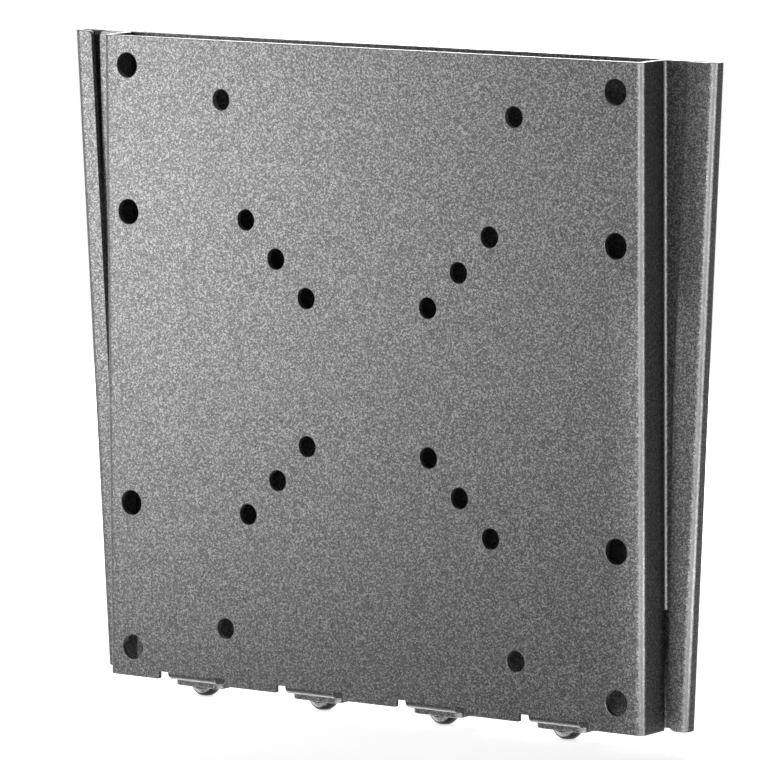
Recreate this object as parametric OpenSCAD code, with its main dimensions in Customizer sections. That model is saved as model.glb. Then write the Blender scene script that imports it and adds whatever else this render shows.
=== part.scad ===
// Flat television wall mount: two folded steel plates that drop together like
// a dovetail, locked by four screws through the tabs along the bottom.
// Origin: centre of the wall face. +X right, +Y into the wall, +Z up.

/* [Overall] */
// Distance from the wall to the front of the TV plate
mount_depth = 17.5; // [15:0.5:30]
// Sheet thickness of the wall plate
wall_t = 2; // [1.5:0.1:2.5]
// Sheet thickness of the TV plate
tv_t = 2; // [1.5:0.1:2.5]
// Inside radius of the folds
bend_r = 0.5; // [0.2:0.1:1]
// Play of each wing between its lip and the back plate, front to back in all
wing_play = 0.5; // [0.3:0.1:1.5]

/* [TV plate] */
// Width of the TV plate
tv_w = 220.5; // [214:0.5:226]
// Height of the TV plate
tv_h = 220; // [200:1:240]
// Inside radius of the fold between a side and its wing
wing_bend_r = 1.2; // [0.5:0.1:1.5]
// How far a wing's upper corner stands out from the side of the TV plate
wing_reach = 11.95; // [9.75:0.05:13.75]
// Height of the wings, from the top edge down
wing_h = 180; // [120:1:190]
// Gap between a wing's lower end and the side of the wall plate
wing_gap = 0.6; // [0.3:0.1:1]
// Radius of a wing's upper corner
wing_corner_r = 2.2; // [1:0.1:3]
// Radius of a wing's lower corner
wing_lead_r = 5; // [2:0.5:6]

/* [Hole patterns] */
// Largest hole spacing, across and down
grid_wide = 200; // [180:1:204]
// Middle hole spacing, across and down
grid_mid = 100; // [95:1:110]
// Small square hole spacing
grid_small = 75; // [70:1:80]
// Smallest square hole spacing
grid_least = 50; // [40:1:60]
// Spacing across of the holes that line up with the wall slots
reach_w = 120; // [115:1:130]
// Spacing down of the holes that line up with the wall slots
reach_h = 180; // [150:1:184]
// Diameter of the holes in the outer columns
hole_big = 8.5; // [6:0.1:10]
// Diameter of the other holes
hole_small = 7; // [5:0.1:8]

/* [Wall plate] */
// Space between a side of the TV plate and the outer face of the wall plate, at middle height
side_space = 15.5; // [14.5:0.25:18.5]
// Slant of each side, in degrees
taper = 3; // [2.6:0.1:3.2]
// Width of the left lip, and of the right one at its foot
lip_w = 7.5; // [6.5:0.1:8.5]
// Width of the right lip's upper half
lip_wide_w = 10.9; // [9:0.1:12]
// Radius of a lip's upper corner
lip_top_r = 2.1; // [1:0.1:3]
// Radius of a lip's lower corner
lip_foot_r = 3.3; // [1:0.1:4]
// Width of a wall slot
slot_w = 7; // [5:0.5:10]
// Length of a wall slot, end to end
slot_l = 14; // [10:1:16]

/* [Lock tabs] */
// Distance between neighbouring lock tabs
tab_pitch = 50; // [40:1:54]
// Width of a tab on the TV plate
tv_tab_w = 20; // [16:0.5:24]
// Depth of a tab on the TV plate, from the front face
tv_tab_d = 13.5; // [12:0.1:14]
// Width of a tab on the wall plate
wall_tab_w = 20; // [16:0.5:24]
// Distance from the TV plate's front to the front edge of a wall plate tab
tab_setback = 3.3; // [2:0.1:3.8]
// Radius of the front corners of a wall plate tab
tab_corner_r = 3; // [1:0.1:5]
// Width of the relief cuts beside each fold
relief_w = 4; // [2:0.5:6]
// How far a relief cut runs past its fold
relief_past = 0.1; // [0.1:0.1:2]

/* [Lock screws] */
// Distance from the TV plate's front to the screws
screw_inset = 8.8; // [8.4:0.1:9.2]
// Thread diameter
screw_d = 5; // [4:0.5:5]
// Thread length
screw_l = 8; // [6:0.5:12]
// Head diameter
head_d = 10; // [8:0.1:10]
// Head height
head_h = 3.3; // [2:0.05:4]
// Straight rim of the head below its dome
head_rim = 0.3; // [0.1:0.1:0.6]
// Flat across the top of the head
head_flat_d = 4.6; // [4.2:0.1:5.5]
// Hexagon socket, across its flats
socket_w = 3; // [2:0.1:3.2]
// Depth of the hexagon socket
socket_depth = 1.6; // [1:0.1:1.8]
// Gap between the thread and the tapped hole, on the radius
thread_gap = 0.05; // [0.05:0.01:0.1]
// Gap between the thread and the hole in the wall plate's tab, on the radius
clear_gap = 0.25; // [0.1:0.05:0.5]
// Wall of the collar drawn up round the tapped hole
collar_wall = 1.1; // [0.8:0.1:1.5]
// Height of that collar above its tab
collar_h = 1.4; // [0.5:0.1:2]

/* [Hidden] */
$fn = 96;
sides = [-1, 1];
past = 1; // how far a cutter runs past the face it cuts

wall_bend = bend_r + wall_t;
tv_bend = bend_r + tv_t;
top_z = tv_h / 2;
foot_z = -tv_h / 2;

lip_depth = 2 * wall_t + tv_t + wing_play;
wall_foot_z = foot_z - wall_t + wall_bend;
wall_half = tv_w / 2 + side_space;
slant = tan(taper);

face_y = -mount_depth;
side_x = tv_w / 2;
wing_top_x = side_x + wing_reach;
wing_y = -wall_t - wing_play / 2 - tv_t;
fold_y = wing_y - wing_bend_r;
wing_foot_z = top_z - wing_h;
wing_foot_x = wall_half + wing_foot_z * slant - wall_t - wing_gap;

tab_x = [for (i = [-1.5:1:1.5]) i * tab_pitch];
screw_y = face_y + screw_inset;
relief_h = tv_bend + relief_past;

paint = [0.47, 0.48, 0.49];
bolt_black = [0.12, 0.12, 0.13];

// Cross-section of a right-angle fold in the first quadrant, with its centre at the origin
module fold(r_in, t) {
    intersection() {
        difference() {
            circle(r_in + t);
            circle(r_in);
        }
        square(r_in + t);
    }
}

// Cuts the corner at p, between edges that leave it at angles a1 and a2, to radius r
module corner_cut(p, a1, a2, r) {
    half = (a2 - a1) / 2;
    reach = r / tan(half);
    translate(p) rotate(a1) difference() {
        polygon([
            [reach, 0],
            [reach, r],
            reach * [cos(2 * half), sin(2 * half)],
            -r * [cos(half), sin(half)]
        ]);
        translate([reach, r]) circle(r);
    }
}

// Stands a shape drawn in X and Z upright, from y down to y - t
module upright(y, t) {
    translate([0, y, 0]) rotate([90, 0, 0]) linear_extrude(t) children();
}

// Four holes on a w by h rectangle, drawn in X and Z
module four(w, h) {
    for (sx = sides, sz = sides) translate([sx * w / 2, sz * h / 2]) children();
}

// Cross-section of the right side in X and Y: face, side and wing of the TV plate
module tv_section(with_wing) {
    translate([-past, face_y]) square([side_x - tv_bend + past, tv_t]);
    translate([side_x - tv_bend, face_y + tv_bend]) rotate(-90) fold(bend_r, tv_t);
    side_end = with_wing ? fold_y : wing_y;
    translate([side_x - tv_t, face_y + tv_bend]) square([tv_t, side_end - face_y - tv_bend]);
    if (with_wing) {
        translate([side_x + wing_bend_r, fold_y]) rotate(90) fold(wing_bend_r, tv_t);
        translate([side_x + wing_bend_r, wing_y]) square([wall_half - side_x - wing_bend_r, tv_t]);
    }
}

// Outline in X and Z of the TV plate's right half, down to the foot of the wing
module wing_outline() {
    edge_a = atan2(wing_foot_z - top_z, wing_foot_x - wing_top_x);
    difference() {
        polygon([
            [-3 * past, top_z],
            [wing_top_x, top_z],
            [wing_foot_x, wing_foot_z],
            [-3 * past, wing_foot_z]
        ]);
        corner_cut([wing_top_x, top_z], -180, edge_a, wing_corner_r);
        corner_cut([wing_foot_x, wing_foot_z], edge_a + 180, 180, wing_lead_r);
    }
}

// What that outline leaves of the half below the wing
module foot_outline() {
    difference() {
        translate([-2 * past, foot_z]) square([side_x + 3 * past, tv_h - past]);
        wing_outline();
    }
}

// Trims a section drawn in X and Y to an outline drawn in X and Z
module trimmed_section() {
    intersection() {
        translate([0, 0, foot_z - past]) linear_extrude(tv_h + 2 * past) children(0);
        upright(past, mount_depth + 2 * past) children(1);
    }
}

// Cross-section in Y and Z of a tab that folds back along the foot of the TV plate
module tv_tab_section() {
    translate([face_y + tv_bend, foot_z + tv_bend]) {
        rotate(180) fold(bend_r, tv_t);
        translate([-tv_bend, 0]) square([tv_t, relief_past + past]);
    }
    translate([face_y + tv_bend, foot_z]) square([tv_tab_d - tv_bend, tv_t]);
}

// Cross-section in Y and Z of a tab that folds forward along the foot of the wall plate
module wall_tab_section() {
    under_z = foot_z - wall_t;
    translate([-wall_bend, wall_foot_z]) {
        rotate(-90) fold(bend_r, wall_t);
        translate([bend_r, 0]) square([wall_t, relief_past + past]);
    }
    translate([face_y + tab_setback, under_z]) square([mount_depth - tab_setback - wall_bend, wall_t]);
}

// Runs a Y and Z section along X, centred on each tab
module along_tabs(w) {
    for (x = tab_x) translate([x - w / 2, 0, 0]) rotate([90, 0, 90]) linear_extrude(w) children();
}

module tv_plate() color(paint) difference() {
    union() {
        difference() {
            for (s = sides) scale([s, 1, 1]) union() {
                trimmed_section() {
                    tv_section(true);
                    wing_outline();
                }
                trimmed_section() {
                    tv_section(false);
                    foot_outline();
                }
            }
            for (x = tab_x) {
                translate([x - tv_tab_w / 2 - relief_w, face_y - past, foot_z - past])
                    cube([tv_tab_w + 2 * relief_w, tv_bend + past, relief_h + past]);
            }
        }
        along_tabs(tv_tab_w) tv_tab_section();
        for (x = tab_x) translate([x, screw_y, foot_z + tv_t / 2])
            cylinder(h = tv_t / 2 + collar_h, d = screw_d + 2 * (thread_gap + collar_wall));
    }
    upright(face_y + tv_t + past, tv_t + 2 * past) {
        four(grid_wide, grid_wide) circle(d = hole_big);
        four(grid_wide, grid_mid) circle(d = hole_big);
        four(grid_mid, grid_mid) circle(d = hole_small);
        four(grid_small, grid_small) circle(d = hole_small);
        four(grid_least, grid_least) circle(d = hole_small);
        four(reach_w, reach_h) circle(d = hole_small);
    }
    for (x = tab_x) translate([x, screw_y, foot_z - past])
        cylinder(h = tv_t + collar_h + 2 * past, d = screw_d + 2 * thread_gap);
}

// Cross-section in X and Y of the right half: back, side and lip, measured from its outer face
module half_section(w) {
    translate([-2 * wall_half, -wall_t]) square([2 * wall_half - wall_bend, wall_t]);
    translate([-wall_bend, -wall_bend]) fold(bend_r, wall_t);
    translate([-wall_t, wall_bend - lip_depth]) square([wall_t, lip_depth - 2 * wall_bend]);
    translate([-wall_bend, wall_bend - lip_depth]) rotate(-90) fold(bend_r, wall_t);
    translate([-w, -lip_depth]) square([w - wall_bend, wall_t]);
}

// Outline in X and Z that trims the lip on the right: w wide down to middle
// height, then narrowing to the common width at the foot
module lip_outline(w) {
    top_in = wall_half + top_z * slant - w;
    mid_in = wall_half - w;
    foot_in = wall_half + wall_foot_z * slant - lip_w;
    out = wall_half + top_z * slant + past;
    difference() {
        polygon([[top_in, top_z], [mid_in, 0], [foot_in, wall_foot_z], [out, wall_foot_z], [out, top_z]]);
        corner_cut([top_in, top_z], atan2(-top_z, mid_in - top_in), 0, lip_top_r);
        corner_cut([foot_in, wall_foot_z], 0, atan2(-wall_foot_z, mid_in - foot_in), lip_foot_r);
    }
}

// Right half of the folded sheet, its side slanting outwards to the top
module half_sheet(w) {
    lip_back = -lip_depth + wall_t;
    intersection() {
        translate([wall_half, 0, 0]) rotate([0, taper, 0])
            linear_extrude(2 * tv_h, center = true) half_section(w + past);
        union() {
            translate([0, lip_back, wall_foot_z]) cube([2 * wall_half, -lip_back, top_z - wall_foot_z]);
            upright(lip_back, wall_t) lip_outline(w);
        }
    }
}

module wall_slot() {
    reach = (slot_l - slot_w) / 2;
    square([2 * reach, slot_w], center = true);
    for (s = sides) translate([s * reach, 0]) circle(d = slot_w);
}

module wall_plate() color(paint) difference() {
    union() {
        difference() {
            union() {
                half_sheet(lip_wide_w);
                scale([-1, 1, 1]) half_sheet(lip_w);
            }
            for (x = tab_x) {
                translate([x - wall_tab_w / 2 - relief_w, -wall_t - past, wall_foot_z - past])
                    cube([wall_tab_w + 2 * relief_w, wall_t + 2 * past, relief_past + past]);
            }
        }
        difference() {
            along_tabs(wall_tab_w) wall_tab_section();
            translate([0, 0, foot_z - wall_t - past]) linear_extrude(wall_t + 2 * past) for (x = tab_x) {
                corner_cut([x - wall_tab_w / 2, face_y + tab_setback], 0, 90, tab_corner_r);
                corner_cut([x + wall_tab_w / 2, face_y + tab_setback], 90, 180, tab_corner_r);
            }
        }
    }
    upright(past, wall_t + 2 * past) four(reach_w, reach_h) wall_slot();
    for (x = tab_x) translate([x, screw_y, foot_z - wall_t - past])
        cylinder(h = wall_t + 2 * past, d = screw_d + 2 * clear_gap);
}

// Button-head screw, thread upwards, with the seat of its head at the origin
module lock_screw() color(bolt_black) {
    tip = 0.5;
    rim_r = head_d / 2;
    flat_r = head_flat_d / 2;
    rise = head_h - head_rim;
    // distance from the rim's edge down to the centre of the dome's sphere
    drop = (rim_r * rim_r - flat_r * flat_r - rise * rise) / (2 * rise);
    difference() {
        union() {
            rotate([180, 0, 0]) {
                cylinder(h = head_rim, d = head_d);
                intersection() {
                    cylinder(h = head_h, d = head_d);
                    translate([0, 0, head_rim - drop]) sphere(r = sqrt(rim_r * rim_r + drop * drop));
                }
            }
            cylinder(h = screw_l - tip, d = screw_d);
            translate([0, 0, screw_l - tip]) cylinder(h = tip, d1 = screw_d, d2 = screw_d - 2 * tip);
        }
        translate([0, 0, -head_h - past]) cylinder(h = socket_depth + past, d = socket_w / cos(30), $fn = 6);
    }
}

module place_screw(i) {
    translate([tab_x[i], screw_y, foot_z - wall_t]) lock_screw();
}

wall_plate();
tv_plate();
place_screw(0);  // lock_screw_1
place_screw(1);  // lock_screw_2
place_screw(2);  // lock_screw_3
place_screw(3);  // lock_screw_4
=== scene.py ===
# Flat television wall mount: two folded steel sheets in graphite powder coat, locked by four black screws
import math

import bpy
from mathutils import Matrix, Vector


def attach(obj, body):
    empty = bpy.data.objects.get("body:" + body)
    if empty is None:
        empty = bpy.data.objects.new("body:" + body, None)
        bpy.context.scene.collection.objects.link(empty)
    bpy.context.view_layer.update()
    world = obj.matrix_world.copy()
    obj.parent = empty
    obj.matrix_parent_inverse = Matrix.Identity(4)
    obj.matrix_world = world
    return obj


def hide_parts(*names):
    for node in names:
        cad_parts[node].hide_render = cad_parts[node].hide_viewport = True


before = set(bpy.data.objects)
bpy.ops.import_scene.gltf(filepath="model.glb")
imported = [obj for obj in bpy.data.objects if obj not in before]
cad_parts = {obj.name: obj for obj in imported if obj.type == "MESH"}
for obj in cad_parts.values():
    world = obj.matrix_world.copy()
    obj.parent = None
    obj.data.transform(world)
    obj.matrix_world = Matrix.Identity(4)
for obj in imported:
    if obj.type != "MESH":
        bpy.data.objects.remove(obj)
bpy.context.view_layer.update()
print("frame loaded:", len(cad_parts), "nodes")


def toLinear(hexColour):
    # sRGB hex to the linear values that the shaders take
    parts = [int(hexColour[i : i + 2], 16) / 255 for i in (1, 3, 5)]
    return [c / 12.92 if c <= 0.04045 else ((c + 0.055) / 1.055) ** 2.4 for c in parts] + [1.0]


def addNode(tree, kind, settings=None, **inputs):
    # one node with its settings; an input is a value or another node's output socket
    made = tree.nodes.new(kind)
    for name, value in (settings or {}).items():
        setattr(made, name, value)
    for name, value in inputs.items():
        socket = made.inputs[int(name[1:])] if name[0] == "_" else made.inputs[name.replace("_", " ")]
        if isinstance(value, bpy.types.NodeSocket):
            tree.links.new(value, socket)
        else:
            socket.default_value = value
    return made


def greatest(tree, first, *others):
    # the greatest of several outputs
    for other in others:
        first = addNode(tree, "ShaderNodeMath", {"operation": "MAXIMUM"}, _0=first, _1=other).outputs[0]
    return first


def seenOrMirrored(tree):
    # 1 for what the camera, a gloss or glass sees, 0 for what lights the object
    ray = addNode(tree, "ShaderNodeLightPath")
    kinds = ("Is Camera Ray", "Is Glossy Ray", "Is Transmission Ray")
    return greatest(tree, *(ray.outputs[kind] for kind in kinds))


def newMaterial(name):
    material = bpy.data.materials.new(name)
    material.use_nodes = True
    material.node_tree.nodes.clear()
    return material, material.node_tree


def perMetre(millimetres):
    # texture scale for a feature of this size
    return 1000 / millimetres


def only(obj):
    # makes obj the one selected and active object, in object mode
    if bpy.context.object and bpy.context.object.mode != "OBJECT":
        bpy.ops.object.mode_set(mode="OBJECT")
    bpy.ops.object.select_all(action="DESELECT")
    obj.select_set(True)
    bpy.context.view_layer.objects.active = obj


def pick(obj, test, kind="FACE"):
    # in edit mode, selects the faces or edges whose centre and normal pass the test
    bpy.ops.mesh.select_mode(type=kind)
    bpy.ops.mesh.select_all(action="DESELECT")
    bpy.ops.object.mode_set(mode="OBJECT")
    mesh = obj.data
    if kind == "FACE":
        for face in mesh.polygons:
            face.select = test(face.center, face.normal)
    else:
        for edge in mesh.edges:
            a, b = (mesh.vertices[i].co for i in edge.vertices)
            edge.select = test((a + b) / 2, (b - a).normalized())
    bpy.ops.object.mode_set(mode="EDIT")


def applyAll(obj):
    only(obj)
    for modifier in list(obj.modifiers):
        bpy.ops.object.modifier_apply(modifier=modifier.name)


# camera: fitted to the 24 holes of the photographed plate
camera = {
    "place": (1.374985, -1.899495, 0.297802),
    "right": (0.809000, 0.587780, -0.005782),
    "down": (0.070023, -0.106134, -0.991883),
    "forward": (-0.583622, 0.802029, -0.127021),
    "lens": 7061.87 / 760 * 36,
}
cameraData = bpy.data.cameras.new("camera")
cameraData.lens = camera["lens"]
cameraData.sensor_width = 36
cameraData.clip_start, cameraData.clip_end = 0.1, 20
cameraObject = bpy.data.objects.new("camera", cameraData)
bpy.context.scene.collection.objects.link(cameraObject)
axes = [Vector(camera["right"]), -Vector(camera["down"]), -Vector(camera["forward"])]
turn = Matrix([[axis[i] for axis in axes] for i in range(3)])
cameraObject.matrix_world = Matrix.Translation(camera["place"]) @ turn.to_4x4()
bpy.context.scene.camera = cameraObject
print("camera placed")


# graphite polyester powder coat with aluminium flakes, oven cured: a dry grainy sheen where the light
# strikes it, flat grey in the shade, and darker at a slant, because the flakes lie flat in the coat
coat = {
    "dark": "#444444",
    "middle": "#686868",
    "flake": "#9B9B9B",
    "grain": 0.5,  # mm between the beads of the cured powder, drawn coarse enough to show
    "flakes": 0.42,  # mm between flakes, far coarser than the real ones so that they show
    "peel": 7.0,  # mm, slow waves of the surface
    "roughness": (0.36, 0.50),
    "grainDepth": 0.00008,
    "peelDepth": 0.00003,
    "faceOn": 1.0,  # how metallic the flakes make it, seen square on
    "slant": 0.0,  # and from about 50 degrees off
    "flop": (0.02, 0.3),  # the range of Facing over which it changes
    "sheen": "#6D6D6D",  # what the flakes blend into over a fold
    "blend": 0.75,  # how far they do
    "fold": (0.99, 0.85),  # greatest part of the normal, on a flat side and within a fold
    "specular": 0.2,
}


def powderCoat(name, shift):
    material, tree = newMaterial(name)
    place = addNode(tree, "ShaderNodeTexCoord")
    moved = addNode(tree, "ShaderNodeMapping", Vector=place.outputs["Object"], Location=shift)
    at = moved.outputs["Vector"]
    grain = addNode(
        tree, "ShaderNodeTexNoise", Vector=at, Scale=perMetre(coat["grain"]), Detail=2.0, Roughness=0.6
    )
    flakes = addNode(tree, "ShaderNodeTexVoronoi", Vector=at, Scale=perMetre(coat["flakes"]))
    peel = addNode(tree, "ShaderNodeTexNoise", Vector=at, Scale=perMetre(coat["peel"]), Detail=1.0)
    flakeShade = addNode(tree, "ShaderNodeSeparateColor", Color=flakes.outputs["Color"])
    # most cells keep the base grey, a few are bright flakes and a few are dark gaps
    tone = addNode(tree, "ShaderNodeValToRGB", Fac=flakeShade.outputs[0])
    tone.color_ramp.elements[0].color = toLinear(coat["dark"])
    tone.color_ramp.elements[1].color = toLinear(coat["flake"])
    step = tone.color_ramp.elements.new(0.6)
    step.color = toLinear(coat["middle"])
    rough = addNode(
        tree,
        "ShaderNodeMapRange",
        Value=grain.outputs[0],
        From_Min=0.35,
        From_Max=0.65,
        To_Min=coat["roughness"][0],
        To_Max=coat["roughness"][1],
    )
    wavy = addNode(tree, "ShaderNodeBump", Height=peel.outputs[0], Strength=1.0, Distance=coat["peelDepth"])
    beads = addNode(
        tree,
        "ShaderNodeBump",
        Height=grain.outputs[0],
        Strength=1.0,
        Distance=coat["grainDepth"],
        Normal=wavy.outputs[0],
    )
    turned = addNode(tree, "ShaderNodeLayerWeight", Blend=0.5)
    flop = addNode(
        tree,
        "ShaderNodeMapRange",
        {"interpolation_type": "SMOOTHSTEP"},
        Value=turned.outputs["Facing"],
        From_Min=coat["flop"][0],
        From_Max=coat["flop"][1],
        To_Min=coat["faceOn"],
        To_Max=coat["slant"],
    )
    # a fold faces none of the three axes; the coat runs thin and smooth over it, and its flakes show less
    facing = addNode(tree, "ShaderNodeVectorMath", {"operation": "ABSOLUTE"}, _0=place.outputs["Normal"])
    along = addNode(tree, "ShaderNodeSeparateXYZ", Vector=facing.outputs[0])
    most = greatest(tree, along.outputs[0], along.outputs[1], along.outputs[2])
    share = addNode(
        tree,
        "ShaderNodeMapRange",
        {"interpolation_type": "SMOOTHSTEP"},
        Value=most,
        From_Min=coat["fold"][0],
        From_Max=coat["fold"][1],
        To_Min=0.0,
        To_Max=coat["blend"],
    )
    blended = addNode(
        tree,
        "ShaderNodeMix",
        {"data_type": "RGBA"},
        _0=share.outputs[0],
        _6=tone.outputs[0],
        _7=toLinear(coat["sheen"]),
    )
    shader = addNode(
        tree,
        "ShaderNodeBsdfPrincipled",
        Base_Color=blended.outputs[2],
        Roughness=rough.outputs[0],
        Metallic=flop.outputs[0],
        Specular_IOR_Level=coat["specular"],
        Normal=beads.outputs[0],
    )
    addNode(tree, "ShaderNodeOutputMaterial", Surface=shader.outputs[0])
    return material


wallCoat = powderCoat("graphitePowderCoatWall", (0.31, 0.12, 0.05))
tvCoat = powderCoat("graphitePowderCoatTv", (0.0, 0.0, 0.0))

# black oxided alloy steel, oiled: near black with soft glints and a faint mottle
blackSteel, tree = newMaterial("blackOxidedSteel")
place = addNode(tree, "ShaderNodeTexCoord")
mottle = addNode(tree, "ShaderNodeTexNoise", Vector=place.outputs["Object"], Scale=perMetre(0.7), Detail=3.0)
oil = addNode(tree, "ShaderNodeValToRGB", Fac=mottle.outputs[0])
oil.color_ramp.elements[0].position, oil.color_ramp.elements[0].color = 0.35, toLinear("#1A1A1A")
oil.color_ramp.elements[1].position, oil.color_ramp.elements[1].color = 0.65, toLinear("#363636")
shine = addNode(
    tree, "ShaderNodeMapRange", Value=mottle.outputs[0], From_Min=0.3, From_Max=0.7, To_Min=0.2, To_Max=0.34
)
skin = addNode(tree, "ShaderNodeBump", Height=mottle.outputs[0], Strength=0.6, Distance=0.00002)
shader = addNode(
    tree,
    "ShaderNodeBsdfPrincipled",
    Base_Color=oil.outputs[0],
    Roughness=shine.outputs[0],
    Metallic=1.0,
    Normal=skin.outputs[0],
)
addNode(tree, "ShaderNodeOutputMaterial", Surface=shader.outputs[0])
print("materials made")


# the two sheets: copies of the CAD nodes with the edges rounded as the coat rounds them
sheets = {
    "wall_plate": {"piece": "wall_sheet", "slot": "powder_coat_wall", "coat": wallCoat},
    "tv_plate": {"piece": "tv_sheet", "slot": "powder_coat_tv", "coat": tvCoat},
    "edge": 0.00028,  # radius of a coated edge
    "segments": 3,
}


def coatedSheet(node, piece, material):
    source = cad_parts[node]
    sheet = bpy.data.objects.new(piece, source.data.copy())
    bpy.context.scene.collection.objects.link(sheet)
    sheet.data.materials.clear()
    sheet.data.materials.append(material)
    only(sheet)
    bpy.ops.object.mode_set(mode="EDIT")
    if sheet.data.has_custom_normals:
        bpy.ops.mesh.customdata_custom_splitnormals_clear()
    bpy.ops.mesh.select_all(action="SELECT")
    bpy.ops.mesh.remove_doubles(threshold=1e-6)
    bpy.ops.mesh.dissolve_limited(angle_limit=math.radians(0.4))
    bpy.ops.object.mode_set(mode="OBJECT")
    edge = sheet.modifiers.new("edge", "BEVEL")
    edge.width = sheets["edge"]
    edge.segments = sheets["segments"]
    edge.limit_method = "ANGLE"
    edge.angle_limit = math.radians(40)
    edge.use_clamp_overlap = False
    applyAll(sheet)
    # where a rounded edge meets the last facet of a fold, a corner can fly off: it goes back on the surface
    for vertex in sheet.data.vertices:
        nearest = source.closest_point_on_mesh(vertex.co)[1]
        if (vertex.co - nearest).length > sheets["edge"] * 2:
            vertex.co = nearest
    bpy.ops.object.shade_smooth_by_angle(angle=math.radians(35))
    even = sheet.modifiers.new("even", "WEIGHTED_NORMAL")
    even.keep_sharp = True
    applyAll(sheet)
    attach(sheet, "root")
    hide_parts(node)
    return sheet


for node in ("wall_plate", "tv_plate"):
    made = coatedSheet(node, sheets[node]["piece"], sheets[node]["coat"])
    print(node, "coated:", len(made.data.polygons), "faces")

# lock screw: domed head with a hexagon socket, rolled thread with a chamfered end; modelled once at the
# origin with the seat of its head at z = 0, then copied to the four places
screw = {
    "places": {"lock_screw_1": -0.075, "lock_screw_2": -0.025, "lock_screw_3": 0.025, "lock_screw_4": 0.075},
    "y": -0.0087,
    "seat": -0.112,
    "headRadius": 0.005,
    "rim": 0.0003,
    "dome": 0.003,
    "flatRadius": 0.0023,
    "rings": 12,  # steps of the dome
    "socket": 0.003,  # across flats
    "socketDepth": 0.0016,
    "mouth": 0.00012,  # the flare starts this far below the head
    "flare": 1.16,
    "ledge": 0.0003,  # flat left around the drilled point
    "drill": 0.0004,
    "drillTip": 0.1,  # its width as a share of its mouth
    "edge": 0.00008,
    "major": 0.0025,
    "minor": 0.00205,
    "pitch": 0.0008,
    "reach": 0.008,  # thread above the seat
    "chamfer": 0.0005,
    "crest": 0.16,  # flat of the crest as a share of the pitch
    "steps": 40,  # around one turn
    "spare": 5,  # turns that are swept and cut off again
    "overlap": 0.0004,  # how far the thread runs into the head
    "trim": 0.00001,
    "twist": 37,  # radians for each metre along x, so that every screw stands at its own angle
}


def combine(obj, other, operation):
    joined = obj.modifiers.new("joined", "BOOLEAN")
    joined.operation = operation
    joined.solver = "EXACT"
    joined.object = other
    applyAll(obj)
    bpy.data.objects.remove(other)


def screwHead():
    bpy.ops.object.select_all(action="DESELECT")
    bpy.ops.mesh.primitive_cylinder_add(
        vertices=72, radius=screw["headRadius"], depth=screw["rim"], location=(0, 0, -screw["rim"] / 2)
    )
    head = bpy.context.object
    bpy.ops.object.transform_apply(location=True, rotation=True, scale=True)
    rise, flat, rim = screw["dome"], screw["flatRadius"], screw["headRadius"]
    drop = (rim**2 - flat**2 - rise**2) / (2 * rise)
    ball = math.hypot(rim, drop)
    bpy.ops.object.mode_set(mode="EDIT")
    pick(head, lambda centre, normal: normal.z < -0.9)
    radius, steep, last = rim, math.atan2(drop, rim), math.atan2(rise + drop, flat)
    level = drop
    for i in range(screw["rings"]):
        angle = steep + (last - steep) * (i + 1) / screw["rings"]
        nextRadius, nextLevel = ball * math.cos(angle), ball * math.sin(angle)
        bpy.ops.mesh.extrude_region_move(TRANSFORM_OT_translate={"value": (0, 0, level - nextLevel)})
        narrow, at = nextRadius / radius, drop - screw["rim"] - nextLevel
        bpy.ops.transform.resize(value=(narrow, narrow, 1), center_override=(0, 0, at))
        radius, level = nextRadius, nextLevel
    bpy.ops.object.mode_set(mode="OBJECT")

    # socket: a hexagon, flared a little at its mouth and dished at its end by the drill
    foot, deep = -screw["rim"] - rise, screw["socketDepth"]
    corner = screw["socket"] / math.sqrt(3)
    bpy.ops.object.select_all(action="DESELECT")
    bpy.ops.mesh.primitive_cylinder_add(vertices=6, radius=corner, depth=deep, location=(0, 0, foot + deep / 2))
    cutter = bpy.context.object
    bpy.ops.object.transform_apply(location=True, rotation=True, scale=True)
    bpy.ops.object.mode_set(mode="EDIT")
    pick(cutter, lambda centre, normal: normal.z < -0.9)
    flare = screw["flare"]
    bpy.ops.mesh.extrude_region_move(TRANSFORM_OT_translate={"value": (0, 0, -screw["mouth"])})
    bpy.ops.transform.resize(value=(flare, flare, 1), center_override=(0, 0, foot))
    pick(cutter, lambda centre, normal: normal.z > 0.9)
    bpy.ops.mesh.inset(thickness=screw["ledge"])
    bpy.ops.mesh.extrude_region_move(TRANSFORM_OT_translate={"value": (0, 0, screw["drill"])})
    bpy.ops.transform.resize(value=(screw["drillTip"], screw["drillTip"], 1), center_override=(0, 0, 0))
    bpy.ops.object.mode_set(mode="OBJECT")
    combine(head, cutter, "DIFFERENCE")
    soften = head.modifiers.new("soften", "BEVEL")
    soften.width = screw["edge"]
    soften.segments = 2
    soften.limit_method = "ANGLE"
    soften.angle_limit = math.radians(32)
    applyAll(head)
    return head


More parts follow.
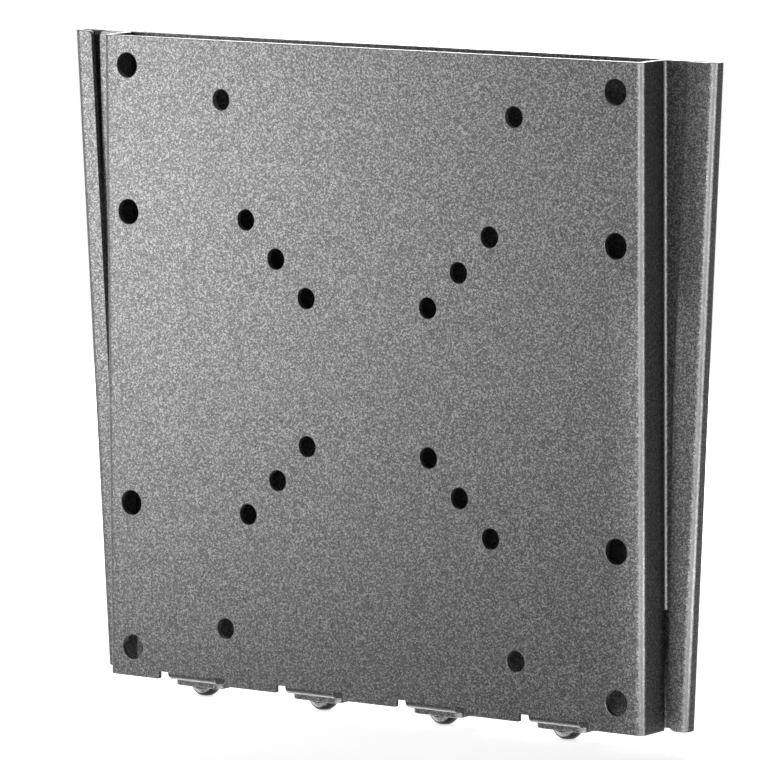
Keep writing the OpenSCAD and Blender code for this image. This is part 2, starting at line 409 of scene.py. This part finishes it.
def screwThread():
    # one flank profile, swept up a helix
    major, minor, pitch = screw["major"], screw["minor"], screw["pitch"]
    bpy.ops.object.select_all(action="DESELECT")
    middle = (major + minor) / 2
    start = (middle, 0, -2 * pitch)
    bpy.ops.mesh.primitive_plane_add(size=pitch, location=start, rotation=(math.pi / 2, 0, 0))
    thread = bpy.context.object
    bpy.ops.object.transform_apply(location=True, rotation=True, scale=True)
    bpy.ops.object.mode_set(mode="EDIT")
    bpy.ops.mesh.select_all(action="SELECT")
    bpy.ops.transform.resize(value=((major - minor) / pitch, 1, 1), center_override=start)
    bpy.ops.mesh.delete(type="ONLY_FACE")
    pick(thread, lambda centre, along: centre.x < middle - pitch / 100 and abs(along.z) > 0.9, "EDGE")
    bpy.ops.mesh.delete(type="EDGE")
    pick(thread, lambda centre, along: centre.x > middle + pitch / 100 and abs(along.z) > 0.9, "EDGE")
    bpy.ops.transform.resize(value=(1, 1, screw["crest"]), center_override=(major, 0, -2 * pitch))
    bpy.ops.object.mode_set(mode="OBJECT")
    sweep = thread.modifiers.new("sweep", "SCREW")
    sweep.axis = "Z"
    sweep.screw_offset = pitch
    sweep.iterations = int(screw["reach"] / pitch) + screw["spare"]
    sweep.steps = sweep.render_steps = screw["steps"]
    sweep.use_merge_vertices = False
    applyAll(thread)
    bpy.ops.object.mode_set(mode="EDIT")
    bpy.ops.mesh.select_all(action="SELECT")
    bpy.ops.mesh.remove_doubles(threshold=2e-6)
    bpy.ops.mesh.select_all(action="SELECT")
    bpy.ops.mesh.fill_holes(sides=0)
    bpy.ops.mesh.select_all(action="SELECT")
    bpy.ops.mesh.normals_make_consistent(inside=False)
    bpy.ops.object.mode_set(mode="OBJECT")

    # the blank: it cuts the sweep to length, its end is chamfered, and its side trims the crests to size
    bpy.ops.object.select_all(action="DESELECT")
    depth = screw["reach"] + screw["overlap"]
    level = screw["reach"] - depth / 2 - screw["trim"]
    bpy.ops.mesh.primitive_cylinder_add(
        vertices=64, radius=major - screw["trim"], depth=depth, location=(0, 0, level)
    )
    blank = bpy.context.object
    bpy.ops.object.transform_apply(location=True, rotation=True, scale=True)
    bpy.ops.object.mode_set(mode="EDIT")
    pick(blank, lambda centre, normal: normal.z > 0.9)
    bpy.ops.mesh.bevel(offset=screw["chamfer"], segments=1, affect="EDGES")
    bpy.ops.object.mode_set(mode="OBJECT")
    combine(thread, blank, "INTERSECT")
    return thread


master = screwHead()
combine(master, screwThread(), "UNION")
master.data.materials.clear()
master.data.materials.append(blackSteel)
only(master)
bpy.ops.object.shade_smooth_by_angle(angle=math.radians(32))
for node, x in screw["places"].items():
    only(master)
    bpy.ops.object.duplicate()
    one = bpy.context.object
    one.name = node.replace("lock_screw", "domed_screw")
    one.location = (x, screw["y"], screw["seat"])
    one.rotation_euler = (0, 0, x * screw["twist"])
    bpy.ops.object.transform_apply(location=True, rotation=True, scale=True)
    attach(one, "root")
    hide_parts(node)
print("lock screws modelled:", len(master.data.polygons), "faces each")
bpy.data.objects.remove(master)


# studio: a soft lamp close on the left and one behind; the lamps named Sheen are seen only in the gloss
studio = {
    "floor": -0.1156,
    "floorSize": 3.0,
    "ambient": 0.03,
    "shadowNear": 0.2,  # m from the middle, where the floor shows its shadows in full
    "shadowFar": 0.9,  # and where it is white
    "glowNear": 0.75,
    "lamps": {
        "left": {
            "at": (-0.27, -0.18, 0.1),
            "aim": (-0.06, 0, 0),
            "size": (0.14, 0.25),
            "watts": 0.46,
        },
        "behind": {
            "at": (-0.4, 0.75, 0.25),
            "aim": (0, 0, 0),
            "size": (0.5, 0.4),
            "watts": 11.0,
        },
        "above": {
            "at": (0.0, -0.05, 0.7),
            "aim": (0, 0, 0),
            "size": (0.5, 0.3),
            "watts": 0.3,
        },
        "leftSheen": {
            "at": (-0.3, -0.24, 0.02),
            "aim": (0, 0, 0),
            "size": (0.14, 0.26),
            "watts": 1.28,
        },
        "frontSheen": {
            "at": (0.36, -0.5, 0.03),
            "aim": (0, 0, -0.02),
            "size": (0.25, 0.26),
            "watts": 1.6,
        },
        "sideSheen": {
            "at": (0.265, -0.005, 0.012),
            "aim": (0.115, -0.01, 0.012),
            "size": (0.045, 0.25),
            "watts": 0.39,
        },
        "lipSheen": {
            "at": (0.095, -0.045, -0.045),
            "aim": (0.118, -0.006, -0.045),
            "size": (0.012, 0.15),
            "watts": 0.0017,
            "spread": 50,  # degrees, as through a honeycomb
        },
        "tableSheen": {
            "at": (0.0, -0.0145, -0.1155),
            "aim": (0.0, -0.0145, 1),
            "size": (0.26, 0.004),
            "watts": 0.034,
        },
        "footSheenFront": {
            "at": (0.139, -0.076, -0.085),
            "aim": (0.115, -0.01, -0.085),
            "size": (0.03, 0.055),
            "watts": 0.011,
        },
        "footSheenSide": {
            "at": (0.185, -0.01, -0.085),
            "aim": (0.115, -0.01, -0.085),
            "size": (0.03, 0.055),
            "watts": 0.04,
        },
    },
}


def softbox(name):
    kept = studio["lamps"][name]
    lamp = bpy.data.lights.new(name, "AREA")
    lamp.shape = "RECTANGLE"
    lamp.size, lamp.size_y = kept["size"]
    lamp.energy = kept["watts"]
    lamp.spread = math.radians(kept.get("spread", 180))
    obj = bpy.data.objects.new(name, lamp)
    bpy.context.scene.collection.objects.link(obj)
    at, aim = Vector(kept["at"]), Vector(kept["aim"])
    obj.matrix_world = Matrix.Translation(at) @ (aim - at).to_track_quat("-Z", "Y").to_matrix().to_4x4()
    obj.visible_camera = False
    obj.visible_diffuse = "Sheen" not in name


for name in studio["lamps"]:
    softbox(name)

# the surround is white where it is seen, directly or in a gloss, and dim as a light
world = bpy.data.worlds.new("surround")
bpy.context.scene.world = world
world.use_nodes = True
world.node_tree.nodes.clear()
tree = world.node_tree
seen = seenOrMirrored(tree)
level = addNode(tree, "ShaderNodeMapRange", Value=seen, To_Min=studio["ambient"], To_Max=1.0)
sky = addNode(tree, "ShaderNodeBackground", Color=(1, 1, 1, 1), Strength=level.outputs[0])
addNode(tree, "ShaderNodeOutputWorld", Surface=sky.outputs[0])

bpy.ops.object.select_all(action="DESELECT")
bpy.ops.mesh.primitive_plane_add(size=studio["floorSize"], location=(0, 0, studio["floor"]))
floor = bpy.context.object
floor.name = "floor"
paper, tree = newMaterial("matWhitePaper")
seen = seenOrMirrored(tree)
place = addNode(tree, "ShaderNodeTexCoord")
away = addNode(tree, "ShaderNodeVectorMath", {"operation": "LENGTH"}, _0=place.outputs["Object"])
fade = addNode(
    tree,
    "ShaderNodeMapRange",
    Value=away.outputs["Value"],
    From_Min=studio["shadowNear"],
    From_Max=studio["shadowFar"],
    To_Min=studio["glowNear"],
    To_Max=1.0,
)
glow = addNode(tree, "ShaderNodeMath", {"operation": "MULTIPLY"}, _0=seen, _1=fade.outputs[0])
matt = addNode(tree, "ShaderNodeBsdfDiffuse", Color=toLinear("#F2F2F2"))
lit = addNode(tree, "ShaderNodeEmission", Color=(1, 1, 1, 1), Strength=glow.outputs[0])
both = addNode(tree, "ShaderNodeAddShader", _0=matt.outputs[0], _1=lit.outputs[0])
addNode(tree, "ShaderNodeOutputMaterial", Surface=both.outputs[0])
floor.data.materials.append(paper)
bpy.context.scene.view_settings.view_transform = "Standard"
print("studio set")
